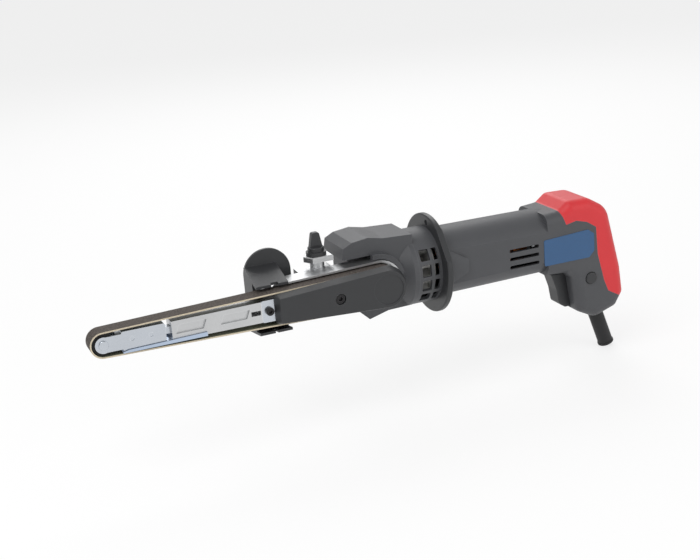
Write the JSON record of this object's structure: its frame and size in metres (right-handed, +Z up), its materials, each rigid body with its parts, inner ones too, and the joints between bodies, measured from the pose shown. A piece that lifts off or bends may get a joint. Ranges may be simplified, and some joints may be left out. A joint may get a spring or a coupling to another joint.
{
  "type": "belt sander",
  "caption": "Handheld power file with a narrow sanding belt on a swivelling arm, a dust nozzle behind it, a guard flange and a rear grip with trigger.",
  "frame": {"origin": "centre of the dust nozzle's mouth", "axes": "+X from the nose roller towards the grip, along the motor; +Y the way the dust hose leaves, away from the open side of the belt; +Z up, the grip hanging down"},
  "size_m": [0.4026, 0.0747, 0.134],
  "materials": {
    "moulded_grey": "fine texture",
    "black_plastic": "satin",
    "red_soft": "soft overmould",
    "blue_label": "printed film",
    "cast_aluminium": "satin casting",
    "bright_steel": "bright zinc",
    "dark_steel": "blackened",
    "bearing_steel": "ground",
    "spring_steel": "drawn wire",
    "abrasive": "coated abrasive cloth",
    "black_rubber": "matt",
    "pulley_aluminium": "turned",
    "lamination": "stacked sheet",
    "copper": "enamelled wire",
    "fan_plastic": "moulded",
    "carbon": "sintered",
    "circuit_board": "board"
  },
  "bodies": {
    "tool": {"gear_housing": "moulded_grey", "bearing_cap": "moulded_grey", "spindle_near_bearing": "bearing_steel", "spindle_far_bearing": "bearing_steel", "motor_front_bearing": "bearing_steel", "motor_rear_bearing": "bearing_steel", "vented_neck": "moulded_grey", "guard_flange": "black_plastic", "housing_near": "moulded_grey", "housing_far": "moulded_grey", "rear_cover": "red_soft", "label_plate": "blue_label", "housing_screws": "dark_steel", "stator": "lamination", "field_coils": "copper", "brush_holders": "black_plastic", "carbon_brushes": "carbon", "switch_module": "black_plastic", "speed_control": "circuit_board", "cable_sleeve": "black_rubber", "trigger_spring": "spring_steel", "lock_spring": "spring_steel"},
    "arm": {"belt_housing": "cast_aluminium", "clamp_block": "cast_aluminium", "arm_bar": "cast_aluminium", "arm_clamp_plate": "bright_steel", "clamp_screw": "dark_steel", "platen": "bright_steel", "tension_spring": "spring_steel", "sanding_belt": "abrasive", "pulley_cover": "black_plastic", "cover_screw": "dark_steel", "dust_hood": "black_plastic", "dust_nozzle": "black_plastic"},
    "wing_knob": {"wing_knob": "black_plastic"},
    "fork": {"nose_fork": "bright_steel", "nose_axle": "bright_steel"},
    "nose_roller": {"nose_roller": "black_rubber", "roller_bearing": "bearing_steel"},
    "drive": {"drive_pulley": "pulley_aluminium", "pulley_screw": "dark_steel", "output_spindle": "bright_steel", "bevel_gear": "dark_steel"},
    "rotor": {"motor_shaft": "bright_steel", "armature": "lamination", "armature_winding": "copper", "commutator": "copper", "cooling_fan": "fan_plastic", "bevel_pinion": "dark_steel"},
    "trigger": {"trigger": "black_plastic"},
    "lock_button": {"lock_button": "black_plastic"},
    "speed_dial": {"speed_dial": "black_plastic"}
  },
  "joints": [
    {"name": "arm_swivel", "type": "hinge", "parent": "tool", "child": "arm", "pos_m": [0.0695, -0.046, -0.006], "axis": [0, -1, 0], "range_deg": [0, 45]},
    {"name": "knob_turn", "type": "hinge", "parent": "arm", "child": "wing_knob", "pos_m": [0.0315, -0.026, 0.018], "axis": [0, 0, 1], "range_deg": [0, 180]},
    {"name": "nose_retract", "type": "slide", "parent": "arm", "child": "fork", "axis": [1, 0, 0], "range_m": [0, 0.004], "stiffness_N_per_m": 1500, "springref_m": -0.004, "deforming": ["tension_spring"]},
    {"name": "nose_roller_spin", "type": "hinge", "parent": "fork", "child": "nose_roller", "pos_m": [-0.1245, -0.046, -0.006], "axis": [0, 1, 0], "continuous": true},
    {"name": "drive_spin", "type": "hinge", "parent": "tool", "child": "drive", "pos_m": [0.0695, -0.046, -0.006], "axis": [0, 1, 0], "continuous": true},
    {"name": "rotor_spin", "type": "hinge", "parent": "tool", "child": "rotor", "pos_m": [0.1295, -0.02, -0.006], "axis": [1, 0, 0], "continuous": true},
    {"name": "trigger_pull", "type": "slide", "parent": "tool", "child": "trigger", "axis": [1, 0, 0], "range_m": [0, 0.005], "stiffness_N_per_m": 600, "springref_m": -0.003, "deforming": ["trigger_spring"]},
    {"name": "lock_press", "type": "slide", "parent": "tool", "child": "lock_button", "axis": [0, 1, 0], "range_m": [0, 0.0025], "stiffness_N_per_m": 500, "springref_m": -0.002, "deforming": ["lock_spring"]},
    {"name": "dial_turn", "type": "hinge", "parent": "tool", "child": "speed_dial", "pos_m": [0.2599, -0.02, -0.034], "axis": [0, 1, 0], "range_deg": [-135, 135]}
  ],
  "couplings": [
    {"joint": "drive_spin", "follows": "rotor_spin", "ratio": -0.71429},
    {"joint": "nose_roller_spin", "follows": "rotor_spin", "ratio": -1.1411}
  ]
}
